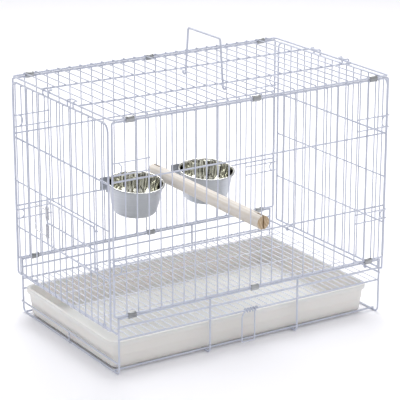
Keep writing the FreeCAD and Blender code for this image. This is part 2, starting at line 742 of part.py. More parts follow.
def main():
    left_end = end_panel(-1, has_door=True)
    right_end = end_panel(1)
    pieces = {
        "base_front_side": base_side(-1, FRONT_RAIL_LEVELS),
        "base_rear_side": base_side(1, REAR_RAIL_LEVELS),
        "base_floor_wires": base_floor(),
        "base_left_rail": end_rail(-1),
        "base_right_rail": end_rail(1),
        "tray_stop_rail": tray_stop(),
        "floor_grille": floor_grille(),
        "lower_hinge_clips": clip_row(BASE_RAIL_LEVEL, PIVOT_LOW, RAIL),
        "slide_tray": slide_tray(),
        "swing_clip": swing_clip(),
        "front_frame": side_frame(-HALF_WIDTH),
        "front_grid": side_grid(-HALF_WIDTH),
        "front_corner_catches": corner_catches(-HALF_WIDTH),
        "rear_frame": side_frame(HALF_WIDTH),
        "rear_grid": side_grid(HALF_WIDTH),
        "rear_corner_catches": corner_catches(HALF_WIDTH),
        "top_frame": top_frame(),
        "top_grid": top_grid(),
        "upper_hinge_clips": clip_row(TOP_LEVEL, PIVOT_HIGH, FRAME),
        "carrying_handle": carrying_handle(),
        "left_end_hooks": end_hooks(-1, left_end),
        "right_end_panel": right_end,
        "right_end_hooks": end_hooks(1, right_end),
        "left_door": left_door(),
        "door_latch": door_latch(),
        "wood_perch": wood_perch(),
        "left_cup": food_cup(CUP_X[0]),
        "left_cup_bracket": cup_bracket(CUP_X[0]),
        "right_cup": food_cup(CUP_X[1]),
        "right_cup_bracket": cup_bracket(CUP_X[1]),
    }
    pieces.update(around_opening(left_end))
    os.makedirs("parts", exist_ok=True)
    for name, shape in pieces.items():
        shape.exportStep("parts/" + name + ".step")
        print(name, "solids", len(shape.Solids), "valid", shape.isValid(), "volume", round(shape.Volume, 1))


main()
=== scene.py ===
import math

import bmesh
import bpy
from mathutils import Matrix, Vector


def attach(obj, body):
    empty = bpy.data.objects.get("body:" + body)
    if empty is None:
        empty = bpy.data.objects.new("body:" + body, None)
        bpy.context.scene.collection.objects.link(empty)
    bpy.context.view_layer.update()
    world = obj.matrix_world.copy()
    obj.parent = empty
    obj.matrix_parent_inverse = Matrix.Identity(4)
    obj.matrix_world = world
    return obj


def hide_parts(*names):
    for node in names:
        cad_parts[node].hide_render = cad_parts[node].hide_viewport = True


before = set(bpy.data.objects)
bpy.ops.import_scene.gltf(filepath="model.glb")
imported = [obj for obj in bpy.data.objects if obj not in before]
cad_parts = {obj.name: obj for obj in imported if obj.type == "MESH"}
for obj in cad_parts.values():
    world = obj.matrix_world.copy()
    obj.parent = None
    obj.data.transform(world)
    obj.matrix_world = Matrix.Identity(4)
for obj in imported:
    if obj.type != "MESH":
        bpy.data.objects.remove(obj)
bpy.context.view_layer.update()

# All shapes are worked out in millimetres, in the CAD model's frame, and turned to metres at the end.
MM = 0.001

# Overall layout
HALF_LENGTH = 254.0
HALF_WIDTH = 158.75
PIVOT_LOW = 96.0
PIVOT_HIGH = 399.5
PIVOT_OFFSET = 3.7
TOP_LEVEL = PIVOT_HIGH + PIVOT_OFFSET
BASE_RAIL_LEVEL = PIVOT_LOW - PIVOT_OFFSET

# Wire radii
FRAME = 1.6
RAIL = 1.5
CROSS = 1.3
BAR = 1.05
WELD = 0.1
RUN_GAP = 0.35
LAYER = FRAME + BAR - WELD
CROSS_LAYER = CROSS + BAR - WELD
WIRE_SIDES = 12
BEND_STEPS = 7

# Radii of the weld beads
GRILLE_BEAD = 1.0
SMALL_BEAD = 1.2
CROSS_BEAD = 1.25
BAR_BEAD = 1.3
RAIL_BEAD = 1.5
END_BEAD = 1.6
HOOK_BEAD = 1.7
FRAME_BEAD = 1.8
ROD_BEAD = 1.9
POST_BEAD = 2.0

# Bar spacing
SIDE_BAYS = 25
SIDE_PITCH = 2 * HALF_LENGTH / SIDE_BAYS
END_BAYS = 16
END_PITCH = 2 * HALF_WIDTH / END_BAYS

# Front and rear panels
SIDE_CORNER = 3.0
SIDE_CROSS_LEVELS = (186.0, 308.5)
CATCH_SPANS = ((165.0, 180.0), (320.0, 339.0))
CATCH_BAYS = 3
CATCH_END = HALF_LENGTH + FRAME - 0.2
LOOP_X = HALF_LENGTH - 4.0
LOOP_WIRE = 1.0

# Top panel and handle
TOP_CORNER = 6.0
TOP_ROD_Y = HALF_WIDTH - 5 * END_PITCH
TOP_ROD_LEVEL = TOP_LEVEL + LAYER - RAIL - BAR + WELD
HINGE_BAYS = (1, 12, 23)
CLIP_LENGTH = 14.0
CLIP_WALL = 1.0
HANDLE_X = 6.5
HANDLE_WIRE = 1.7
HANDLE_CURL = 4.2
HANDLE_FOOT_Y = TOP_ROD_Y - HANDLE_CURL
HANDLE_GRIP_Y = 47.0
HANDLE_TOP = 471.5
HANDLE_CURL_LEVEL = 397.0
HANDLE_BEND = 4.0

# Base
POST_X = 247.0
POST_SIDE_X = (-POST_X, -83.0, 83.0, POST_X)
FOOT_BEND = 8.0
FOOT_REACH = 100.0
SUPPORT_LEVEL = 58.0
FRONT_RAIL_LEVELS = (BASE_RAIL_LEVEL, 78.5, SUPPORT_LEVEL)
REAR_RAIL_LEVELS = (BASE_RAIL_LEVEL, 78.5, SUPPORT_LEVEL, 40.5)
BOTTOM_RAILS_Y = (-146.0, 146.0)
BOTTOM_RAIL_LEVEL = 2 * FRAME + RAIL - WELD
END_RAIL_LEVEL = 69.0
END_RAIL_X = POST_X + FRAME + RAIL - WELD
GUARD_LEVEL = 20.0
GUARD_STRUT_Y = -4.0
GRILLE_WIRE = 0.9
GRILLE_PITCH = 12.7
GRILLE_WIRES = 39
GRILLE_RODS_Y = (-120.0, -60.0, 0.0, 60.0, 120.0)
GRILLE_LEVEL = SUPPORT_LEVEL + RAIL + GRILLE_WIRE
GRILLE_SHORT_X = (-26.0, 12.0)
GRILLE_SHORT_Y = -152.0
GRILLE_ROD_OVERHANG = 3.0

# Tray
TRAY_LEFT = -252.0
TRAY_RIGHT = 236.0
TRAY_HALF_WIDTH = 149.0
TRAY_FLOOR = 3.6
TRAY_RIM = 49.5
TRAY_LIP = 8.0
TRAY_CORNER = 18.0

# End panels
END_FRAME_X = HALF_LENGTH + 2 * FRAME + RUN_GAP
END_BAR_X = END_FRAME_X + LAYER
END_HALF_WIDTH = 153.0
END_LOW = 73.0
END_HIGH = 396.5
END_CORNER_TOP = 12.0
OPENING_LOW = 154.0
OPENING_HIGH = 232.0
END_CROSS_WIRES = ((305.0, 1.5), (OPENING_HIGH, 1.2), (OPENING_LOW, 1.2))
END_CURL_Y = (-119.0, 107.0)
END_CURL_WIRE = 1.2
HOOK_Y = HALF_WIDTH - 6 * END_PITCH
HOOK_HALF = 9.0
HOOK_WIRE = 1.25
HOOK_BEND = 3.0
HOOK_LEVEL = TOP_LEVEL + FRAME + HOOK_WIRE + 1.2
HOOK_REACH = 249.5
LEFT_END_NODES = [
    "left_end_upper", "left_end_front_strip", "left_end_rear_strip", "left_end_lower", "left_end_hooks",
]

# Door in the left end
DOOR_FIRST_BAR = 2
DOOR_LAST_BAR = 10
DOOR_LOW = OPENING_LOW + 3.0
DOOR_HIGH = OPENING_HIGH - 3.0
DOOR_WIRE = 1.4
DOOR_CORNER = 4.0
DOOR_HINGE_Y = -HALF_WIDTH + DOOR_FIRST_BAR * END_PITCH
DOOR_FRONT = DOOR_HINGE_Y + 2.85
DOOR_REAR = -HALF_WIDTH + DOOR_LAST_BAR * END_PITCH - 4.0
DOOR_MID = (DOOR_LOW + DOOR_HIGH) / 2
DOOR_CURL_LEVELS = (DOOR_LOW + 6.0, DOOR_HIGH - 6.0)
DOOR_CURL_WIRE = 0.75
LATCH_WIRE = 0.7
LATCH_TURNS = 12
LATCH_COILS = ((167.0, 191.0), (197.0, 220.0))
LATCH_LOOP_LEVELS = (172.0, 215.0)
LATCH_LOOP_Y = 72.0
LATCH_LOOP_WIRE = 1.0
LATCH_LOOP_BEND = 5.0

# Swing clip on the base
CLIP_LEGS_X = (-25.0, -1.0)
CLIP_SHOULDER = SUPPORT_LEVEL - 8.0
CLIP_LOW = 7.0
CLIP_BEND = 2.5
CLIP_WIRE = 1.1
CLIP_COIL_X = (-20.0, 6.0)
CLIP_TURNS = 5

# Perch
PERCH_RADIUS = 11.5
PERCH_LEVEL = 201.5
PERCH_X = -HALF_LENGTH + 13 * SIDE_PITCH
PERCH_OVERHANG = 5.5
PERCH_FRONT = -HALF_WIDTH - LAYER - PERCH_OVERHANG
KERF_WIDTH = 3.2
KERF_DEPTH = 12.0

# Cups and their hanging plates
CUP_X = {"left": -61.0, "right": 77.5}
CUP_Y = 103.0
CUP_FLOOR_LEVEL = 162.0
CUP_HEIGHT = 51.0
CUP_RADIUS = 45.4
CUP_FOOT_RADIUS = 38.0
CUP_SIDES = 96
CUP_SHEET = 0.9
CUP_BEAD = 1.9
CUP_TILT = 7.0
PLATE_HALF = 40.0
PLATE_SHEET = 1.2
PLATE_TOP = 209.0
TONGUE_WIDTH = 9.0
TONGUE_DROP = 8.0
LUG_HALF = 8.0

# Light
ROOM_COLOUR = (0.985, 0.985, 1.0, 1)
ROOM_STRENGTH = 0.86
ROOM_STREAKS = 4.0
LAMP_POWER = 34.0

# Camera: it stands at the front left and looks a little down
CAMERA_AZIMUTH = -32.38
CAMERA_DOWN = 17.94
CAMERA_PLACE = (-1.5163, -2.3895, 1.1111)
CAMERA_LENS = 164.38

# Half the breadth of the studio floor, in metres
STAGE_REACH = 12.0


class WireMesh:
    """Points and faces of one piece, in millimetres."""

    def __init__(self):
        self.points = []
        self.faces = []
        self.face_slots = []

    def add(self, points, faces, slot=0):
        start = len(self.points)
        self.points.extend(points)
        for face in faces:
            self.faces.append([start + index for index in face])
            self.face_slots.append(slot)


def bent(points, bend, steps=BEND_STEPS):
    """A path through points, with each inner corner rounded to one bend radius."""
    points = [Vector(p) for p in points]
    path = [points[0]]
    for before, corner, after in zip(points, points[1:], points[2:]):
        back = (before - corner).normalized()
        ahead = (after - corner).normalized()
        half = back.angle(ahead) / 2
        reach = bend / math.tan(half)
        centre = corner + (back + ahead).normalized() * (bend / math.sin(half))
        enter = corner + back * reach - centre
        leave = corner + ahead * reach - centre
        sweep = enter.angle(leave)
        for step in range(steps + 1):
            share = step / steps
            part = math.sin((1 - share) * sweep) * enter + math.sin(share * sweep) * leave
            path.append(centre + part / math.sin(sweep))
    path.append(points[-1])
    return path


def closed_bent(points, bend):
    """A closed path round four corners, started in the middle of one side."""
    points = [Vector(p) for p in points]
    middle = (points[0] + points[-1]) / 2
    return bent([middle] + points + [middle], bend)[:-1]


def arc_path(centre, start, axis, degrees, steps=12):
    """A path that turns start round an axis through centre."""
    centre = Vector(centre)
    spoke = Vector(start) - centre
    path = []
    for step in range(steps + 1):
        turn = Matrix.Rotation(math.radians(degrees * step / steps), 3, Vector(axis))
        path.append(centre + turn @ spoke)
    return path


def helix_path(start, end, radius, turns, first=(0, 0, 1), per_turn=14):
    """A coil between two points of its axis."""
    start = Vector(start)
    along = Vector(end) - start
    spoke = Vector(first)
    spoke = (spoke - along * spoke.dot(along) / along.length_squared).normalized() * radius
    count = int(turns * per_turn)
    path = []
    for index in range(count + 1):
        share = index / count
        turn = Matrix.Rotation(2 * math.pi * turns * share, 3, along.normalized())
        path.append(start + along * share + turn @ spoke)
    return path


def ring_faces(count, rings, closed=False):
    """Faces that join rings of points, and close both ends unless the rings run round in a loop."""
    faces = []
    for ring in range(rings if closed else rings - 1):
        here = ring * count
        ahead = ((ring + 1) % rings) * count
        for index in range(count):
            after = (index + 1) % count
            faces.append([here + index, here + after, ahead + after, ahead + index])
    if not closed:
        faces.append(list(range(count))[::-1])
        faces.append([(rings - 1) * count + index for index in range(count)])
    return faces


def tube(mesh, path, radius, closed=False, sides=WIRE_SIDES):
    """A round wire along a path, its cut ends a little softened."""
    path = [Vector(p) for p in path]
    if not closed:
        soften = radius * 0.45
        first = path[0] + (path[1] - path[0]).normalized() * soften
        last = path[-1] + (path[-2] - path[-1]).normalized() * soften
        path = [path[0], first] + path[1:-1] + [last, path[-1]]
    count = len(path)
    normal = None
    points = []
    for index, point in enumerate(path):
        before = path[index - 1] if closed or index else point
        after = path[(index + 1) % count] if closed or index < count - 1 else point
        tangent = (after - before).normalized()
        if normal is None:
            normal = tangent.orthogonal()
        normal = (normal - tangent * normal.dot(tangent)).normalized()
        across = tangent.cross(normal)
        size = radius * 0.6 if not closed and index in (0, count - 1) else radius
        for side in range(sides):
            angle = 2 * math.pi * side / sides
            points.append(point + (normal * math.cos(angle) + across * math.sin(angle)) * size)
    mesh.add(points, ring_faces(sides, count, closed))


def line(mesh, start, end, radius):
    """A straight round wire."""
    tube(mesh, [start, end], radius)


def nugget(mesh, centre, radius, stretch=(1, 1, 1)):
    """A small weld bead."""
    centre = Vector(centre)
    around, levels = 8, 4
    points = [centre - Vector((0, 0, radius * stretch[2]))]
    for level in range(1, levels):
        pitch = math.pi * level / levels - math.pi / 2
        for side in range(around):
            angle = 2 * math.pi * side / around
            points.append(centre + Vector((
                radius * stretch[0] * math.cos(pitch) * math.cos(angle),
                radius * stretch[1] * math.cos(pitch) * math.sin(angle),
                radius * stretch[2] * math.sin(pitch),
            )))
    points.append(centre + Vector((0, 0, radius * stretch[2])))
    faces = []
    for side in range(around):
        after = (side + 1) % around
        faces.append([0, 1 + after, 1 + side])
        for level in range(levels - 2):
            low = 1 + level * around
            high = low + around
            faces.append([low + side, low + after, high + after, high + side])
        top = 1 + (levels - 2) * around
        faces.append([top + side, top + after, len(points) - 1])
    mesh.add(points, faces)


def make_object(mesh, name, materials):
    """A Blender object, in metres, from collected points and faces."""
    data = bpy.data.meshes.new(name)
    data.from_pydata([Vector(p) * MM for p in mesh.points], [], mesh.faces)
    data.polygons.foreach_set("use_smooth", [True] * len(data.polygons))
    data.polygons.foreach_set("material_index", mesh.face_slots)
    for material in materials:
        data.materials.append(material)
    data.update()
    piece = bpy.data.objects.new(name, data)
    bpy.context.scene.collection.objects.link(piece)
    return piece


def place(piece, body, nodes):
    """Rides a finished piece on its body in place of CAD nodes."""
    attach(piece, body)
    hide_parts(*nodes)


# ---------------------------------------------------------------- materials


def start_material(name):
    """A new material, its node tree and its main shader."""
    material = bpy.data.materials.new(name)
    material.use_nodes = True
    tree = material.node_tree
    return material, tree, tree.nodes["Principled BSDF"]


def noise(tree, scale, detail=4.0, stretch=(1, 1, 1)):
    """A noise texture in the object's own coordinates."""
    place_node = tree.nodes.new("ShaderNodeTexCoord")
    mapping = tree.nodes.new("ShaderNodeMapping")
    mapping.inputs["Scale"].default_value = stretch
    texture = tree.nodes.new("ShaderNodeTexNoise")
    texture.inputs["Scale"].default_value = scale
    texture.inputs["Detail"].default_value = detail
    tree.links.new(place_node.outputs["Object"], mapping.inputs["Vector"])
    tree.links.new(mapping.outputs["Vector"], texture.inputs["Vector"])
    return texture.outputs["Fac"]


def ramp(tree, source, stops):
    """Colours along a 0 to 1 value."""
    node = tree.nodes.new("ShaderNodeValToRGB")
    elements = node.color_ramp.elements
    while len(elements) < len(stops):
        elements.new(0.5)
    for element, (position, colour) in zip(elements, stops):
        element.position = position
        element.color = (*colour, 1)
    tree.links.new(source, node.inputs["Fac"])
    return node.outputs["Color"]


def spread(tree, source, low, high):
    """A 0 to 1 value stretched to another range."""
    node = tree.nodes.new("ShaderNodeMapRange")
    node.inputs["To Min"].default_value = low
    node.inputs["To Max"].default_value = high
    tree.links.new(source, node.inputs["Value"])
    return node.outputs["Result"]


def bump(tree, shader, source, strength, depth):
    """Fine relief on a shader, from a 0 to 1 value."""
    node = tree.nodes.new("ShaderNodeBump")
    node.inputs["Strength"].default_value = strength
    node.inputs["Distance"].default_value = depth
    tree.links.new(source, node.inputs["Height"])
    tree.links.new(node.outputs["Normal"], shader.inputs["Normal"])


def powder_coat(name, deep, pale):
    """Glossy white powder coat on wire, a little uneven where it pooled."""
    material, tree, shader = start_material(name)
    pooled = noise(tree, 45.0, 3.0)
    colour = ramp(tree, pooled, ((0.3, deep), (0.7, pale)))
    tree.links.new(colour, shader.inputs["Base Color"])
    tree.links.new(spread(tree, noise(tree, 300.0), 0.26, 0.42), shader.inputs["Roughness"])
    shader.inputs["Coat Weight"].default_value = 0.25
    shader.inputs["Coat Roughness"].default_value = 0.15
    bump(tree, shader, noise(tree, 1400.0, 2.0), 0.25, 0.0002)
    return material


def clip_steel():
    """Dark plated sheet with fine rubbed streaks."""
    material, tree, shader = start_material("dark_clip_steel")
    streaks = noise(tree, 220.0, 5.0, (0.15, 1, 1))
    colour = ramp(tree, streaks, ((0.3, (0.26, 0.27, 0.28)), (0.75, (0.52, 0.53, 0.54))))
    tree.links.new(colour, shader.inputs["Base Color"])
    tree.links.new(spread(tree, streaks, 0.28, 0.5), shader.inputs["Roughness"])
    shader.inputs["Metallic"].default_value = 0.85
    bump(tree, shader, streaks, 0.2, 0.0001)
    return material


def spring_steel():
    """Bright drawn spring wire."""
    material, tree, shader = start_material("spring_steel")
    drawn = noise(tree, 500.0, 3.0, (1, 1, 0.2))
    colour = ramp(tree, drawn, ((0.3, (0.7, 0.71, 0.76)), (0.7, (0.86, 0.87, 0.92))))
    tree.links.new(colour, shader.inputs["Base Color"])
    tree.links.new(spread(tree, drawn, 0.2, 0.38), shader.inputs["Roughness"])
    shader.inputs["Metallic"].default_value = 0.6
    return material


def cup_steel(name, dark, light, rough_low, rough_high, ring_strength):
    """Deep-drawn stainless steel with fine level rings from spinning."""
    material, tree, shader = start_material(name)
    rings = noise(tree, 60.0, 6.0, (0.25, 0.25, 22))
    colour = ramp(tree, rings, ((0.25, dark), (0.75, light)))
    tree.links.new(colour, shader.inputs["Base Color"])
    tree.links.new(spread(tree, rings, rough_low, rough_high), shader.inputs["Roughness"])
    shader.inputs["Metallic"].default_value = 1.0
    bump(tree, shader, rings, ring_strength, 0.0001)
    return material


def tray_plastic():
    """Cream injection-moulded plastic with a fine satin grain."""
    material, tree, shader = start_material("tray_plastic")
    mottle = noise(tree, 9.0, 5.0)
    colour = ramp(tree, mottle, ((0.3, (0.75, 0.735, 0.7)), (0.7, (0.8, 0.785, 0.755))))
    tree.links.new(colour, shader.inputs["Base Color"])
    tree.links.new(spread(tree, noise(tree, 120.0), 0.42, 0.58), shader.inputs["Roughness"])
    shader.inputs["Subsurface Weight"].default_value = 0.05
    bump(tree, shader, noise(tree, 900.0, 3.0), 0.2, 0.0002)
    return material


def perch_wood(name, pale, deep):
    """Bare softwood with grain along the perch."""
    material, tree, shader = start_material(name)
    grain = noise(tree, 60.0, 6.0, (4.0, 0.18, 4.0))
    rings = tree.nodes.new("ShaderNodeTexWave")
    rings.wave_type = "RINGS"
    rings.rings_direction = "Y"
    rings.inputs["Scale"].default_value = 70.0
    rings.inputs["Distortion"].default_value = 3.0
    rings.inputs["Detail"].default_value = 3.0
    coordinates = tree.nodes.new("ShaderNodeTexCoord")
    mapping = tree.nodes.new("ShaderNodeMapping")
    mapping.inputs["Location"].default_value = (-0.03, 0, -0.21)
    mapping.inputs["Scale"].default_value = (1, 0.06, 1)
    tree.links.new(coordinates.outputs["Object"], mapping.inputs["Vector"])
    tree.links.new(mapping.outputs["Vector"], rings.inputs["Vector"])
    mixed = tree.nodes.new("ShaderNodeMath")
    mixed.operation = "MULTIPLY_ADD"
    mixed.inputs[1].default_value = 0.45
    tree.links.new(rings.outputs["Fac"], mixed.inputs[0])
    tree.links.new(grain, mixed.inputs[2])
    colour = ramp(tree, mixed.outputs["Value"], ((0.35, pale), (0.95, deep)))
    tree.links.new(colour, shader.inputs["Base Color"])
    tree.links.new(spread(tree, grain, 0.5, 0.7), shader.inputs["Roughness"])
    bump(tree, shader, mixed.outputs["Value"], 0.35, 0.0003)
    return material


def floor_material():
    """Matt white studio paper."""
    material, tree, shader = start_material("floor_paper")
    colour = ramp(tree, noise(tree, 3.0), ((0.2, (0.94, 0.935, 0.96)), (0.8, (0.955, 0.95, 0.975))))
    tree.links.new(colour, shader.inputs["Base Color"])
    shader.inputs["Roughness"].default_value = 0.75
    return material


# ---------------------------------------------------------------- base


def base_side(side, levels):
    """The posts and long rails of the base's front (-1) or rear (1)."""
    mesh = WireMesh()
    y = side * HALF_WIDTH
    for x in POST_SIDE_X:
        post = [(x, y, BASE_RAIL_LEVEL), (x, y, FRAME), (x, side * FOOT_REACH, FRAME)]
        tube(mesh, bent(post, FOOT_BEND), FRAME)
        for level in levels:
            nugget(mesh, (x, y, level), POST_BEAD, (1.0, 0.95, 0.9))
    for level in levels:
        line(mesh, (-POST_X - FRAME, y, level), (POST_X + FRAME, y, level), RAIL)
    return mesh


def base_floor():
    """The floor cross wires, and the long rails on them."""
    mesh = WireMesh()
    meet = FOOT_REACH + 1.0
    for x in POST_SIDE_X:
        line(mesh, (x, -meet, FRAME), (x, meet, FRAME), FRAME)
        for y in BOTTOM_RAILS_Y:
            nugget(mesh, (x, y, 2 * FRAME), RAIL_BEAD)
    reach = POST_X + FRAME
    for y in BOTTOM_RAILS_Y:
        line(mesh, (-reach, y, BOTTOM_RAIL_LEVEL), (reach, y, BOTTOM_RAIL_LEVEL), RAIL)
    return mesh


def end_rail(side):
    """The rail that an end panel turns on."""
    mesh = WireMesh()
    x = side * END_RAIL_X
    line(mesh, (x, -HALF_WIDTH, END_RAIL_LEVEL), (x, HALF_WIDTH, END_RAIL_LEVEL), RAIL)
    for y in (-HALF_WIDTH, HALF_WIDTH):
        nugget(mesh, (side * (END_RAIL_X - RAIL), y * 0.995, END_RAIL_LEVEL), END_BEAD)
    return mesh


def tray_stop():
    """The low guard rail at the left, with its strut."""
    mesh = WireMesh()
    x = -END_RAIL_X
    strut_x = -POST_X - FRAME - BAR + WELD
    line(mesh, (x, -HALF_WIDTH, GUARD_LEVEL), (x, HALF_WIDTH, GUARD_LEVEL), RAIL)
    line(mesh, (strut_x, GUARD_STRUT_Y, 1.0), (strut_x, GUARD_STRUT_Y, GUARD_LEVEL), BAR)
    nugget(mesh, (x, GUARD_STRUT_Y, GUARD_LEVEL), ROD_BEAD)
    for y in (-HALF_WIDTH, HALF_WIDTH):
        nugget(mesh, (-POST_X - FRAME, y * 0.995, GUARD_LEVEL), END_BEAD)
    return mesh


def floor_grille():
    """Close cross wires on rods."""
    mesh = WireMesh()
    first = -GRILLE_PITCH * (GRILLE_WIRES - 1) / 2
    rod_level = GRILLE_LEVEL - 2 * GRILLE_WIRE + WELD
    clip_left, clip_right = GRILLE_SHORT_X
    for index in range(GRILLE_WIRES):
        x = first + index * GRILLE_PITCH
        front = GRILLE_SHORT_Y if clip_left < x < clip_right else -HALF_WIDTH
        line(mesh, (x, front, GRILLE_LEVEL), (x, HALF_WIDTH, GRILLE_LEVEL), GRILLE_WIRE)
        for y in GRILLE_RODS_Y:
            nugget(mesh, (x, y, GRILLE_LEVEL - GRILLE_WIRE), GRILLE_BEAD, (1.1, 1.1, 0.8))
    reach = GRILLE_ROD_OVERHANG - first
    for y in GRILLE_RODS_Y:
        line(mesh, (-reach, y, rod_level), (reach, y, rod_level), GRILLE_WIRE)
    return mesh


def hinge_clips(levels):
    """Folded sheet clips round two wires, three along each long edge."""
    mesh = WireMesh()
    outer = FRAME + RUN_GAP + CLIP_WALL
    low, high = sorted(levels)
    middle = (low + high) / 2
    outline = []
    steps = 10
    for start, level in ((0.0, high), (math.pi, low)):
        for step in range(steps + 1):
            angle = start + math.pi * step / steps
            outline.append((outer * math.cos(angle), level - middle + outer * math.sin(angle)))
    stations = ((-0.5, 0.86), (-0.47, 1.0), (0.47, 1.0), (0.5, 0.86))
    for y in (-HALF_WIDTH, HALF_WIDTH):
        for bay in HINGE_BAYS:
            x = -HALF_LENGTH + (bay + 0.5) * SIDE_PITCH
            points = []
            for share, scale in stations:
                end_x = x + share * CLIP_LENGTH
                for across, rise in outline:
                    points.append(Vector((end_x, y + across * scale, middle + rise * scale)))
            mesh.add(points, ring_faces(len(outline), len(stations)))
    return mesh


def swing_clip():
    """A coil on the front rail, with its wire legs."""
    mesh = WireMesh()
    radius = RAIL + RUN_GAP + CLIP_WIRE
    start, end = CLIP_COIL_X
    left, right = CLIP_LEGS_X
    y = -HALF_WIDTH
    leg_y = y - radius
    coil_ends = ((start, y, SUPPORT_LEVEL), (end, y, SUPPORT_LEVEL))
    tube(mesh, helix_path(*coil_ends, radius, CLIP_TURNS, (0, -1, 0)), CLIP_WIRE)
    legs = bent(
        [
            (start, leg_y, SUPPORT_LEVEL),
            (left, leg_y, CLIP_SHOULDER),
            (left, leg_y, CLIP_LOW),
            (right, leg_y, CLIP_LOW),
            (right, leg_y, SUPPORT_LEVEL - 2),
        ],
        CLIP_BEND,
    )
    tube(mesh, legs, CLIP_WIRE)
    return mesh


# ---------------------------------------------------------------- panels


def side_panel(y):
    """The front or rear panel: edge wire, bars, cross wires, corner wires and loops."""
    mesh = WireMesh()
    bar_y = y - LAYER
    cross_y = bar_y + CROSS_LAYER
    corners = [(x, y, z) for x, z in (
        (-HALF_LENGTH, PIVOT_LOW), (HALF_LENGTH, PIVOT_LOW),
        (HALF_LENGTH, PIVOT_HIGH), (-HALF_LENGTH, PIVOT_HIGH),
    )]
    tube(mesh, closed_bent(corners, SIDE_CORNER), FRAME, closed=True)
    for bay in range(1, SIDE_BAYS):
        x = -HALF_LENGTH + bay * SIDE_PITCH
        line(mesh, (x, bar_y, PIVOT_LOW), (x, bar_y, PIVOT_HIGH), BAR)
        for level in (PIVOT_LOW + 1, PIVOT_HIGH - 1):
            nugget(mesh, (x, bar_y + BAR, level), BAR_BEAD, (1.15, 0.8, 1.0))
        for level in SIDE_CROSS_LEVELS:
            nugget(mesh, (x, bar_y + BAR, level), CROSS_BEAD, (1.2, 0.8, 1.1))
    reach = HALF_LENGTH - FRAME + WELD
    for level in SIDE_CROSS_LEVELS:
        line(mesh, (-reach, cross_y, level), (reach, cross_y, level), CROSS)
        for side in (-1, 1):
            nugget(mesh, (side * reach, cross_y, level), FRAME_BEAD)
    add_corner_catches(mesh, bar_y)
    return mesh


def add_corner_catches(mesh, bar_y):
    """Short wires and half-round loops at both ends of a panel."""
    wire_y = bar_y - 2 * BAR + WELD
    inner = HALF_LENGTH - CATCH_BAYS * SIDE_PITCH - BAR
    for side in (-1, 1):
        for low, high in CATCH_SPANS:
            middle = (side * LOOP_X, wire_y, (low + high) / 2)
            loop = arc_path(middle, (side * LOOP_X, wire_y, low), (0, side, 0), 180)
            tube(mesh, loop, LOOP_WIRE)
            for level in (low, high):
                line(mesh, (side * inner, wire_y, level), (side * CATCH_END, wire_y, level), BAR)
                for bay in range(CATCH_BAYS + 1):
                    x = side * (HALF_LENGTH - bay * SIDE_PITCH - (SMALL_BEAD if bay == 0 else 0))
                    nugget(mesh, (x, bar_y - BAR, level), SMALL_BEAD, (1.1, 0.8, 1.0))


def top_panel():
    """The top: rounded edge wire, cross wires and two long rods."""
    mesh = WireMesh()
    bar_level = TOP_LEVEL + LAYER
    corners = [(x, y, TOP_LEVEL) for x, y in (
        (-HALF_LENGTH, -HALF_WIDTH), (HALF_LENGTH, -HALF_WIDTH),
        (HALF_LENGTH, HALF_WIDTH), (-HALF_LENGTH, HALF_WIDTH),
    )]
    tube(mesh, closed_bent(corners, TOP_CORNER), FRAME, closed=True)
    for bay in range(1, SIDE_BAYS):
        x = -HALF_LENGTH + bay * SIDE_PITCH
        line(mesh, (x, -HALF_WIDTH, bar_level), (x, HALF_WIDTH, bar_level), BAR)
        for y in (-HALF_WIDTH + 1, HALF_WIDTH - 1):
            nugget(mesh, (x, y, bar_level - BAR), BAR_BEAD, (1.1, 1.0, 0.8))
        for y in (-TOP_ROD_Y, TOP_ROD_Y):
            nugget(mesh, (x, y, bar_level - BAR), BAR_BEAD, (1.1, 1.1, 0.8))
    reach = HALF_LENGTH - FRAME + WELD
    for y in (-TOP_ROD_Y, TOP_ROD_Y):
        line(mesh, (-reach, y, TOP_ROD_LEVEL), (reach, y, TOP_ROD_LEVEL), RAIL)
        for side in (-1, 1):
            nugget(mesh, (side * reach, y, TOP_ROD_LEVEL), ROD_BEAD)
    return mesh


def carrying_handle():
    """One bent wire: grip, two legs, and a hook under each rod."""
    mesh = WireMesh()
    hooks = []
    for side in (-1, 1):
        foot = side * HANDLE_FOOT_Y
        centre = (HANDLE_X, foot + side * HANDLE_CURL, HANDLE_CURL_LEVEL)
        hooks.append(arc_path(centre, (HANDLE_X, foot, HANDLE_CURL_LEVEL), (side, 0, 0), 180))
    legs = bent(
        [
            (HANDLE_X, -HANDLE_FOOT_Y, HANDLE_CURL_LEVEL),
            (HANDLE_X, -HANDLE_GRIP_Y, HANDLE_TOP),
            (HANDLE_X, HANDLE_GRIP_Y, HANDLE_TOP),
            (HANDLE_X, HANDLE_FOOT_Y, HANDLE_CURL_LEVEL),
        ],
        HANDLE_BEND,
    )
    tube(mesh, hooks[0][:0:-1] + legs + hooks[1][1:], HANDLE_WIRE)
    return mesh


def end_bar_y(index):
    """Where an end panel's upright bar stands, counted from the front."""
    return -HALF_WIDTH + index * END_PITCH


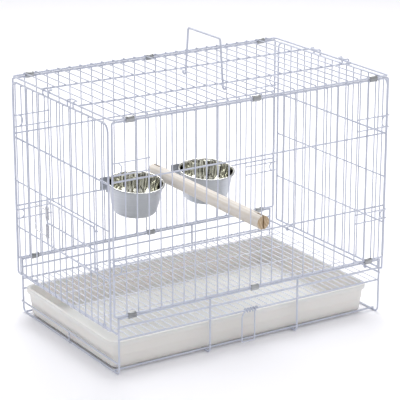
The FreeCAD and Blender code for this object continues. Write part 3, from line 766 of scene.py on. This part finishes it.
def end_panel(side, has_door):
    """An end panel: edge wire, bars, cross wires, top hooks and bottom curls."""
    mesh = WireMesh()
    bar_x = side * END_BAR_X
    frame_x = side * END_FRAME_X
    middle = (END_LOW + END_HIGH) / 2
    upper = bent(
        [
            (frame_x, -END_HALF_WIDTH, middle),
            (frame_x, -END_HALF_WIDTH, END_HIGH),
            (frame_x, END_HALF_WIDTH, END_HIGH),
            (frame_x, END_HALF_WIDTH, middle),
        ],
        END_CORNER_TOP,
    )
    lower = bent(
        [
            (frame_x, END_HALF_WIDTH, middle),
            (frame_x, END_HALF_WIDTH, END_LOW),
            (frame_x, -END_HALF_WIDTH, END_LOW),
            (frame_x, -END_HALF_WIDTH, middle),
        ],
        SIDE_CORNER,
    )
    tube(mesh, upper[:-1] + lower[:-1], FRAME, closed=True)
    for index in range(1, END_BAYS):
        spans = ((END_LOW, END_HIGH),)
        if has_door and DOOR_FIRST_BAR < index < DOOR_LAST_BAR:
            spans = ((END_LOW, OPENING_LOW), (OPENING_HIGH, END_HIGH))
        y = end_bar_y(index)
        for low, high in spans:
            line(mesh, (bar_x, y, low), (bar_x, y, high), BAR)
        for level in (END_LOW + 1, END_HIGH - 1):
            nugget(mesh, (side * (END_BAR_X - BAR), y, level), BAR_BEAD, (0.8, 1.15, 1.0))
    reach = END_HALF_WIDTH - FRAME + WELD
    for level, gauge in END_CROSS_WIRES:
        x = side * (END_BAR_X - gauge - BAR + WELD)
        line(mesh, (x, -reach, level), (x, reach, level), gauge)
        for index in range(1, END_BAYS):
            place_at = (side * (END_BAR_X - BAR), end_bar_y(index), level)
            nugget(mesh, place_at, SMALL_BEAD, (0.8, 1.15, 1.1))
    add_end_hooks(mesh, side)
    return mesh


def add_end_hooks(mesh, side):
    """Hooks over the top's end wire, and curls round the base's end rail."""
    x = side * END_FRAME_X
    inner_x = side * HOOK_REACH
    for y in (-HOOK_Y, HOOK_Y):
        front, rear = y - HOOK_HALF, y + HOOK_HALF
        path = bent(
            [
                (x, front, END_HIGH + 1), (x, front, HOOK_LEVEL), (inner_x, front, HOOK_LEVEL),
                (inner_x, rear, HOOK_LEVEL), (x, rear, HOOK_LEVEL), (x, rear, END_HIGH + 1),
            ],
            HOOK_BEND,
        )
        tube(mesh, path, HOOK_WIRE)
        for foot in (front, rear):
            nugget(mesh, (x, foot, END_HIGH + FRAME), HOOK_BEAD)
    ring = RAIL + RUN_GAP + END_CURL_WIRE
    for y in END_CURL_Y:
        centre = (side * END_RAIL_X, y, END_RAIL_LEVEL)
        start = (side * END_RAIL_X, y, END_RAIL_LEVEL + ring)
        root = Vector((side * (END_FRAME_X - FRAME), y, END_RAIL_LEVEL + ring))
        tube(mesh, [root] + arc_path(centre, start, (0, -side, 0), 225, 16), END_CURL_WIRE)


def left_door():
    """The small door: edge wire, bars, a cross wire and two hinge curls."""
    mesh = WireMesh()
    bar_x = -END_BAR_X
    x = bar_x - DOOR_WIRE - BAR + WELD
    corners = [
        (x, DOOR_FRONT, DOOR_LOW), (x, DOOR_REAR, DOOR_LOW),
        (x, DOOR_REAR, DOOR_HIGH), (x, DOOR_FRONT, DOOR_HIGH),
    ]
    tube(mesh, closed_bent(corners, DOOR_CORNER), DOOR_WIRE, closed=True)
    cross_x = bar_x - CROSS_LAYER
    for index in range(DOOR_FIRST_BAR + 1, DOOR_LAST_BAR):
        y = end_bar_y(index)
        line(mesh, (bar_x, y, DOOR_LOW), (bar_x, y, DOOR_HIGH), BAR)
        for level in (DOOR_LOW + 1, DOOR_MID, DOOR_HIGH - 1):
            nugget(mesh, (bar_x - BAR, y, level), SMALL_BEAD, (0.8, 1.15, 1.0))
    line(mesh, (cross_x, DOOR_FRONT, DOOR_MID), (cross_x, DOOR_REAR, DOOR_MID), CROSS)
    ring = BAR + RUN_GAP + DOOR_CURL_WIRE
    for level in DOOR_CURL_LEVELS:
        centre = (bar_x, DOOR_HINGE_Y, level)
        circle = arc_path(centre, (bar_x + ring, DOOR_HINGE_Y, level), (0, 0, 1), 360, 20)[:-1]
        tube(mesh, circle, DOOR_CURL_WIRE, closed=True)
        nugget(mesh, (bar_x - DOOR_WIRE, DOOR_FRONT - 0.5, level), RAIL_BEAD)
    return mesh


def door_latch():
    """Two coils on the door's rear wire, and the loop that joins them."""
    mesh = WireMesh()
    x = -END_BAR_X - DOOR_WIRE - BAR + WELD
    radius = DOOR_WIRE + RUN_GAP + LATCH_WIRE
    for low, high in LATCH_COILS:
        coil_ends = ((x, DOOR_REAR, low + LATCH_WIRE), (x, DOOR_REAR, high - LATCH_WIRE))
        tube(mesh, helix_path(*coil_ends, radius, LATCH_TURNS, (-1, 0, 0)), LATCH_WIRE, sides=8)
    loop_x = x - radius
    low, high = LATCH_LOOP_LEVELS
    loop = bent(
        [
            (loop_x, DOOR_REAR - 0.5, low), (loop_x, LATCH_LOOP_Y, low),
            (loop_x, LATCH_LOOP_Y, high), (loop_x, DOOR_REAR - 0.5, high),
        ],
        LATCH_LOOP_BEND,
    )
    tube(mesh, loop, LATCH_LOOP_WIRE)
    return mesh


# ---------------------------------------------------------------- tray, cups and perch


def rounded_outline(inset, level, corner, steps=8):
    """The tray's outline at one height."""
    left = TRAY_LEFT + inset
    right = TRAY_RIGHT - inset
    half = TRAY_HALF_WIDTH - inset
    outline = []
    for x, y, start in ((right, half, 0), (left, half, 90), (left, -half, 180), (right, -half, 270)):
        centre_x = x - math.copysign(corner, x)
        centre_y = y - math.copysign(corner, y)
        for step in range(steps + 1):
            angle = math.radians(start + 90 * step / steps)
            across = corner * math.cos(angle)
            along = corner * math.sin(angle)
            outline.append(Vector((centre_x + across, centre_y + along, level)))
    return outline


def slide_tray():
    """A moulded tray: rounded foot, stepped side, turned-down rim, hollow inside."""
    mesh = WireMesh()
    rim = TRAY_RIM - TRAY_FLOOR
    lip = rim - TRAY_LIP
    # Inset and rise of the section: up the outside, round the turned-down rim, and down the inside
    stations = [
        (11.0, 0.0), (9.0, 0.25), (8.0, 0.9), (7.5, 2.2), (6.0, 19.8), (5.8, 20.4),
        (5.2, 21.2), (5.0, 21.9), (3.5, rim - 3.2), (3.3, rim - 2.0), (1.5, rim - 2.0),
        (1.3, rim - 2.4), (1.3, lip + 0.3), (0.9, lip), (0.35, lip + 0.05), (0.0, lip + 0.5),
        (0.0, rim - 1.0), (0.35, rim - 0.3), (1.0, rim), (4.0, rim), (4.9, rim - 0.3), (5.3, rim - 1.2),
        (6.8, 22.3), (7.1, 21.6), (7.6, 21.0), (7.9, 20.2), (9.2, 4.4), (9.8, 2.8),
        (11.4, 1.9), (14.0, 1.8),
    ]
    rings = []
    for inset, rise in stations:
        corner = max(TRAY_CORNER - inset * 0.6, 6.0)
        rings.append(rounded_outline(inset, TRAY_FLOOR + rise, corner))
    points = [point for ring in rings for point in ring]
    mesh.add(points, ring_faces(len(rings[0]), len(rings)))
    return mesh


def cup_place(x):
    """The matrix that puts a cup drawn at the origin in its place, tipped a little."""
    hinge = Vector((x, CUP_Y + CUP_RADIUS, CUP_FLOOR_LEVEL + CUP_HEIGHT))
    tip = Matrix.Rotation(math.radians(CUP_TILT), 4, "X")
    shift = Vector((x, CUP_Y, CUP_FLOOR_LEVEL)) - hinge
    return Matrix.Translation(hinge) @ tip @ Matrix.Translation(shift)


def cup_profile():
    """Radius and height along a cup's section: under the foot and up outside, then down inside."""
    foot = CUP_FOOT_RADIUS
    bead = CUP_RADIUS + CUP_BEAD - CUP_SHEET
    brim = CUP_HEIGHT - 0.3
    slope = (CUP_RADIUS - foot) / CUP_HEIGHT
    outside = [(0.0, 1.2), (foot - 14, 1.2), (foot - 11.5, 0.9), (foot - 10, 0.1), (foot - 8.4, 0.0)]
    for step in range(1, 7):
        angle = math.radians(90 * step / 6)
        outside.append((foot - 8.4 + 8.6 * math.sin(angle), 8.6 - 8.6 * math.cos(angle)))
    for level in (20.0, 32.0, 44.0, 48.0):
        outside.append((foot + slope * level, level))
    for step in range(9):
        angle = math.radians(-135 + 270 * step / 8)
        outside.append((bead + CUP_BEAD * math.cos(angle), brim + CUP_BEAD * math.sin(angle)))
    inside = [(CUP_RADIUS - CUP_SHEET, CUP_HEIGHT - 1.2)]
    for level in (44.0, 32.0, 20.0, 10.5):
        inside.append((foot + slope * level - CUP_SHEET, level))
    for step in range(5, -1, -1):
        angle = math.radians(90 * step / 6)
        inside.append((foot - 9.0 + 8.2 * math.sin(angle), 9.6 - 8.2 * math.cos(angle)))
    inside.extend([(foot - 12, 1.9), (foot - 15, 2.1), (0.0, 2.1)])
    return outside, inside


def food_cup(x):
    """A spun cup: rounded foot, tapered wall, rolled bead, polished hollow."""
    mesh = WireMesh()
    outside, inside = cup_profile()
    profile = outside + inside
    polish_from = len(outside) - 4
    matrix = cup_place(x)
    points = [matrix @ Vector((0, 0, profile[0][1]))]
    for radius, level in profile[1:-1]:
        for side in range(CUP_SIDES):
            angle = 2 * math.pi * side / CUP_SIDES
            spoke = Vector((radius * math.cos(angle), radius * math.sin(angle), level))
            points.append(matrix @ spoke)
    points.append(matrix @ Vector((0, 0, profile[-1][1])))
    outer_faces = []
    inner_faces = []
    for side in range(CUP_SIDES):
        after = (side + 1) % CUP_SIDES
        outer_faces.append([0, 1 + after, 1 + side])
        for ring in range(len(profile) - 3):
            here = 1 + ring * CUP_SIDES
            ahead = here + CUP_SIDES
            group = outer_faces if ring < polish_from else inner_faces
            group.append([here + side, here + after, ahead + after, ahead + side])
        last = 1 + (len(profile) - 3) * CUP_SIDES
        inner_faces.append([last + side, last + after, len(points) - 1])
    mesh.add(points, outer_faces, 0)
    mesh.faces.extend(inner_faces)
    mesh.face_slots.extend([1] * len(inner_faces))
    return mesh


def add_block(mesh, low, high, edge=0.35):
    """A sheet or block with softened edges."""
    solid = bmesh.new()
    bmesh.ops.create_cube(solid, size=1)
    low, high = Vector(low), Vector(high)
    for vert in solid.verts:
        vert.co = Vector(((vert.co[i] + 0.5) * (high[i] - low[i]) + low[i] for i in range(3)))
    bmesh.ops.bevel(solid, geom=solid.edges[:], offset=edge, segments=2, affect="EDGES", profile=0.5)
    solid.verts.index_update()
    points = [vert.co.copy() for vert in solid.verts]
    faces = [[vert.index for vert in face.verts] for face in solid.faces]
    mesh.add(points, faces)
    solid.free()


def cup_bracket(x):
    """A hanging plate with two tongues over the rear cross wire, and a lug to the cup."""
    mesh = WireMesh()
    plate_rear = HALF_WIDTH - LAYER - BAR - RUN_GAP
    plate_front = plate_rear - PLATE_SHEET
    cross_top = SIDE_CROSS_LEVELS[0] + CROSS
    shelf = cross_top + RUN_GAP
    tip_front = HALF_WIDTH - LAYER + CROSS_LAYER + CROSS + RUN_GAP
    tip_rear = tip_front + PLATE_SHEET
    add_block(mesh, (x - PLATE_HALF, plate_front, shelf), (x + PLATE_HALF, plate_rear, PLATE_TOP))
    for offset in (-SIDE_PITCH, SIDE_PITCH):
        bay = math.floor((x + offset + HALF_LENGTH) / SIDE_PITCH)
        centre = -HALF_LENGTH + (bay + 0.5) * SIDE_PITCH
        low_x = centre - TONGUE_WIDTH / 2
        high_x = centre + TONGUE_WIDTH / 2
        add_block(mesh, (low_x, plate_front, shelf), (high_x, tip_rear, shelf + PLATE_SHEET))
        tip_low = (low_x, tip_front, cross_top - TONGUE_DROP)
        add_block(mesh, tip_low, (high_x, tip_rear, shelf + PLATE_SHEET))
    lug_low = (x - LUG_HALF, CUP_Y + CUP_RADIUS - 1.0, shelf + 2)
    lug_high = (x + LUG_HALF, plate_front + 0.2, shelf + 13)
    add_block(mesh, lug_low, lug_high, 0.8)
    return mesh


def perch_dowel():
    """A round dowel with eased ends."""
    solid = bmesh.new()
    sides = 64
    stations = [PERCH_FRONT, PERCH_FRONT + 0.35, PERCH_FRONT + 1.2]
    stations += [PERCH_FRONT + 40 + step * 30 for step in range(9)]
    stations += [-PERCH_FRONT - 1.2, -PERCH_FRONT - 0.35, -PERCH_FRONT]
    rings = []
    for index, y in enumerate(stations):
        ease = {0: 1.1, 1: 0.45, len(stations) - 2: 0.45, len(stations) - 1: 1.1}.get(index, 0.0)
        radius = PERCH_RADIUS - ease
        ring = []
        for side in range(sides):
            angle = 2 * math.pi * side / sides
            place_at = (PERCH_X + radius * math.cos(angle), y, PERCH_LEVEL + radius * math.sin(angle))
            ring.append(solid.verts.new(Vector(place_at) * MM))
        rings.append(ring)
    for ring, ahead in zip(rings, rings[1:]):
        for side in range(sides):
            after = (side + 1) % sides
            solid.faces.new([ring[side], ahead[side], ahead[after], ring[after]])
    solid.faces.new(rings[0])
    solid.faces.new(rings[-1][::-1])
    bmesh.ops.recalc_face_normals(solid, faces=solid.faces)
    data = bpy.data.meshes.new("wood_perch_dowel")
    solid.to_mesh(data)
    solid.free()
    perch = bpy.data.objects.new("wood_perch_dowel", data)
    bpy.context.scene.collection.objects.link(perch)
    return perch


def saw_kerf(perch, front, rear):
    """Cuts an upright slot through the perch between two places along it."""
    half = KERF_WIDTH / 2
    reach = PERCH_RADIUS + 3
    blade = WireMesh()
    low = (PERCH_X - half, front, PERCH_LEVEL - reach)
    high = (PERCH_X + half, rear, PERCH_LEVEL + reach)
    add_block(blade, low, high, 0.05)
    cutter = make_object(blade, "kerf_cutter", [])
    cut = perch.modifiers.new("kerf", "BOOLEAN")
    cut.operation = "DIFFERENCE"
    cut.solver = "EXACT"
    cut.object = cutter
    bpy.context.view_layer.update()
    evaluated = perch.evaluated_get(bpy.context.evaluated_depsgraph_get())
    shape = bpy.data.meshes.new_from_object(evaluated)
    perch.modifiers.clear()
    perch.data = shape
    bpy.data.objects.remove(cutter)


def wood_perch():
    """A dowel with a saw kerf in each end."""
    perch = perch_dowel()
    saw_kerf(perch, PERCH_FRONT - 2, PERCH_FRONT + PERCH_OVERHANG + KERF_DEPTH)
    saw_kerf(perch, HALF_WIDTH - LAYER - KERF_DEPTH, -PERCH_FRONT + 2)
    return perch


def paint_perch(perch, side_wood, end_wood):
    """End grain and kerf walls get the darker wood, and the round side the pale one."""
    data = perch.data
    data.materials.clear()
    data.materials.append(side_wood)
    data.materials.append(end_wood)
    for face in data.polygons:
        centre = face.center / MM
        outward = Vector((centre.x - PERCH_X, 0, centre.z - PERCH_LEVEL))
        round_side = outward.length > PERCH_RADIUS - 1.3 and abs(face.normal.y) < 0.5
        face.material_index = 0 if round_side else 1
        face.use_smooth = round_side


# ---------------------------------------------------------------- stage, light and camera


def build_stage():
    """A wide pale floor that fades into the background."""
    data = bpy.data.meshes.new("studio_floor")
    signs = ((-1, -1), (1, -1), (1, 1), (-1, 1))
    corners = [(x * STAGE_REACH, y * STAGE_REACH, 0) for x, y in signs]
    data.from_pydata(corners, [], [(0, 1, 2, 3)])
    data.materials.append(floor_material())
    floor = bpy.data.objects.new("studio_floor", data)
    bpy.context.scene.collection.objects.link(floor)


def add_light(name, place_at, look_at, size, power, colour=(1, 1, 1)):
    """A soft rectangular lamp."""
    lamp = bpy.data.lights.new(name, "AREA")
    lamp.shape = "RECTANGLE"
    lamp.size, lamp.size_y = size
    lamp.energy = power
    lamp.color = colour
    holder = bpy.data.objects.new(name, lamp)
    holder.location = place_at
    holder.rotation_euler = (Vector(look_at) - Vector(place_at)).to_track_quat("-Z", "Y").to_euler()
    bpy.context.scene.collection.objects.link(holder)


def striped_room(tree):
    """What polished metal mirrors: a pale room with tall dark and warm gaps between its lamps."""
    coordinates = tree.nodes.new("ShaderNodeTexCoord")
    mapping = tree.nodes.new("ShaderNodeMapping")
    mapping.inputs["Scale"].default_value = (1, 1, 0.12)
    streaks = tree.nodes.new("ShaderNodeTexNoise")
    streaks.inputs["Scale"].default_value = ROOM_STREAKS
    streaks.inputs["Detail"].default_value = 3.0
    tree.links.new(coordinates.outputs["Generated"], mapping.inputs["Vector"])
    tree.links.new(mapping.outputs["Vector"], streaks.inputs["Vector"])
    stops = (
        (0.42, (0.015, 0.015, 0.01)), (0.49, (0.18, 0.155, 0.1)),
        (0.54, (0.85, 0.84, 0.79)), (0.63, (1.55, 1.55, 1.6)),
    )
    return ramp(tree, streaks.outputs["Fac"], stops)


def build_light():
    """An even white room, a broad lamp above and behind, and a room pattern that only gloss sees."""
    world = bpy.data.worlds.new("studio_world")
    world.use_nodes = True
    tree = world.node_tree
    plain = tree.nodes["Background"]
    plain.inputs["Color"].default_value = ROOM_COLOUR
    plain.inputs["Strength"].default_value = ROOM_STRENGTH
    mirrored = tree.nodes.new("ShaderNodeBackground")
    tree.links.new(striped_room(tree), mirrored.inputs["Color"])
    rays = tree.nodes.new("ShaderNodeLightPath")
    chosen = tree.nodes.new("ShaderNodeMixShader")
    tree.links.new(rays.outputs["Is Glossy Ray"], chosen.inputs[0])
    tree.links.new(plain.outputs["Background"], chosen.inputs[1])
    tree.links.new(mirrored.outputs["Background"], chosen.inputs[2])
    tree.links.new(chosen.outputs["Shader"], tree.nodes["World Output"].inputs["Surface"])
    bpy.context.scene.world = world
    bpy.context.scene.view_settings.view_transform = "Standard"
    add_light("overhead_box", (0.7, 1.1, 1.9), (0, 0, 0.1), (1.6, 1.2), LAMP_POWER)


def build_camera():
    """The camera, turned to look a little down from the front left."""
    camera = bpy.data.cameras.new("camera")
    camera.lens = CAMERA_LENS
    camera.clip_end = 60
    holder = bpy.data.objects.new("camera", camera)
    holder.location = CAMERA_PLACE
    holder.rotation_euler = (math.radians(90 - CAMERA_DOWN), 0, math.radians(CAMERA_AZIMUTH))
    bpy.context.scene.collection.objects.link(holder)
    bpy.context.scene.camera = holder


def build_pieces():
    """Every piece of the cage, placed on its body with its material."""
    # Painted shade: the white powder coat is given darker lavender-grey colours, standing in for the
    # wires being lit less than the bright room.
    coat = powder_coat("white_powder_coat", (0.53, 0.56, 0.66), (0.61, 0.64, 0.73))
    # Painted light: the floor grille gets a lighter copy of the same white powder coat.
    grille_coat_painted_light = powder_coat("grille_coat_with_painted_light", (0.78, 0.8, 0.88), (0.85, 0.87, 0.94))
    dark = clip_steel()
    wires = (
        ("base_front_wires", base_side(-1, FRONT_RAIL_LEVELS), "base", ["base_front_side"]),
        ("base_rear_wires", base_side(1, REAR_RAIL_LEVELS), "base", ["base_rear_side"]),
        ("base_bottom_wires", base_floor(), "base", ["base_floor_wires"]),
        ("base_left_end_rail", end_rail(-1), "base", ["base_left_rail"]),
        ("base_right_end_rail", end_rail(1), "base", ["base_right_rail"]),
        ("base_tray_stop", tray_stop(), "base", ["tray_stop_rail"]),
        ("front_swing_clip", swing_clip(), "clip", ["swing_clip"]),
        ("front_wire_panel", side_panel(-HALF_WIDTH), "front_panel",
         ["front_frame", "front_grid", "front_corner_catches"]),
        ("rear_wire_panel", side_panel(HALF_WIDTH), "rear_panel",
         ["rear_frame", "rear_grid", "rear_corner_catches"]),
        ("top_wire_panel", top_panel(), "top_panel", ["top_frame", "top_grid"]),
        ("wire_handle", carrying_handle(), "handle", ["carrying_handle"]),
        ("left_wire_end", end_panel(-1, True), "left_end", LEFT_END_NODES),
        ("right_wire_end", end_panel(1, False), "right_end", ["right_end_panel", "right_end_hooks"]),
        ("side_door", left_door(), "door", ["left_door"]),
    )
    for name, mesh, body, nodes in wires:
        place(make_object(mesh, name, [coat]), body, nodes)
    place(make_object(floor_grille(), "wire_floor", [grille_coat_painted_light]), "base", ["floor_grille"])
    clips = make_object(hinge_clips((BASE_RAIL_LEVEL, PIVOT_LOW)), "bottom_clips", [dark])
    place(clips, "base", ["lower_hinge_clips"])
    clips = make_object(hinge_clips((TOP_LEVEL, PIVOT_HIGH)), "top_clips", [dark])
    place(clips, "top_panel", ["upper_hinge_clips"])
    latch = make_object(door_latch(), "spring_latch", [spring_steel()])
    place(latch, "latch", ["door_latch"])
    tray = make_object(slide_tray(), "moulded_tray", [tray_plastic()])
    place(tray, "tray", ["slide_tray"])
    satin = cup_steel("cup_satin_outside", (0.49, 0.51, 0.54), (0.6, 0.62, 0.65), 0.34, 0.46, 0.15)
    polish = cup_steel("cup_polished_inside", (0.66, 0.66, 0.61), (0.78, 0.78, 0.74), 0.03, 0.07, 0.05)
    for side, x in CUP_X.items():
        cup = make_object(food_cup(x), side + "_steel_cup", [satin, polish])
        place(cup, side + "_cup", [side + "_cup"])
        bracket = make_object(cup_bracket(x), side + "_hanging_plate", [satin])
        place(bracket, side + "_cup", [side + "_cup_bracket"])
    perch = wood_perch()
    side_wood = perch_wood("perch_wood_side", (0.8, 0.76, 0.71), (0.7, 0.64, 0.56))
    end_wood = perch_wood("perch_wood_end", (0.62, 0.49, 0.34), (0.42, 0.3, 0.18))
    paint_perch(perch, side_wood, end_wood)
    place(perch, "perch", ["wood_perch"])


build_pieces()
build_stage()
build_light()
build_camera()
